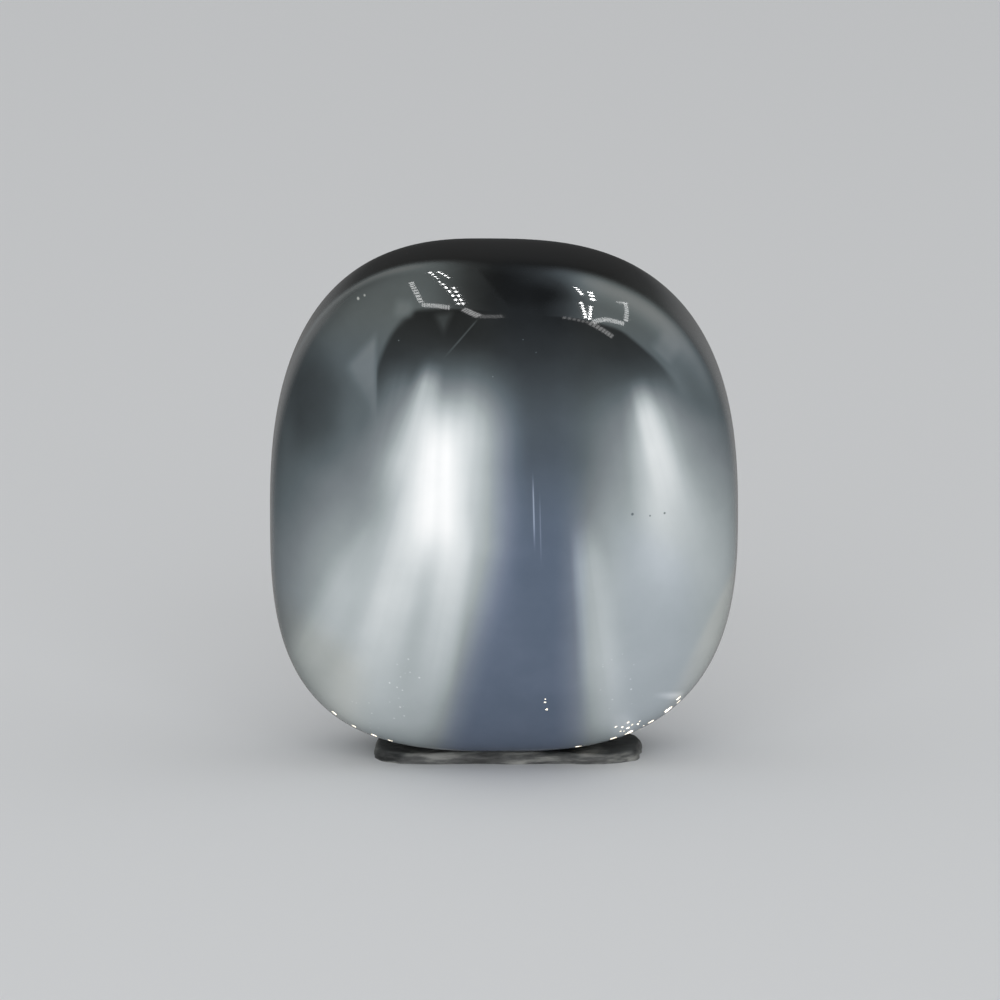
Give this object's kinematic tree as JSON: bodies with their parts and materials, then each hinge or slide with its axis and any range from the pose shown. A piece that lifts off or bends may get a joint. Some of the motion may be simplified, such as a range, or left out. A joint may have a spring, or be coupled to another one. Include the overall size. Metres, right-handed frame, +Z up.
{
  "type": "moonstone cabochon",
  "caption": "Polished translucent moonstone cut as a cushion cabochon, domed on both faces, standing upright on a thin strip of clear putty.",
  "frame": {"origin": "centre of the flat underside of the putty strip", "axes": "+Z up the standing stone, -Y out of the stone's front dome, +X to the right as seen from the front"},
  "size_m": [0.011, 0.0083, 0.012],
  "materials": {
    "moonstone": "polished, milky and translucent",
    "putty": "frosty, translucent"
  },
  "bodies": {
    "root": {"moonstone_cabochon": "moonstone", "putty_pad": "putty"}
  },
  "joints": []
}
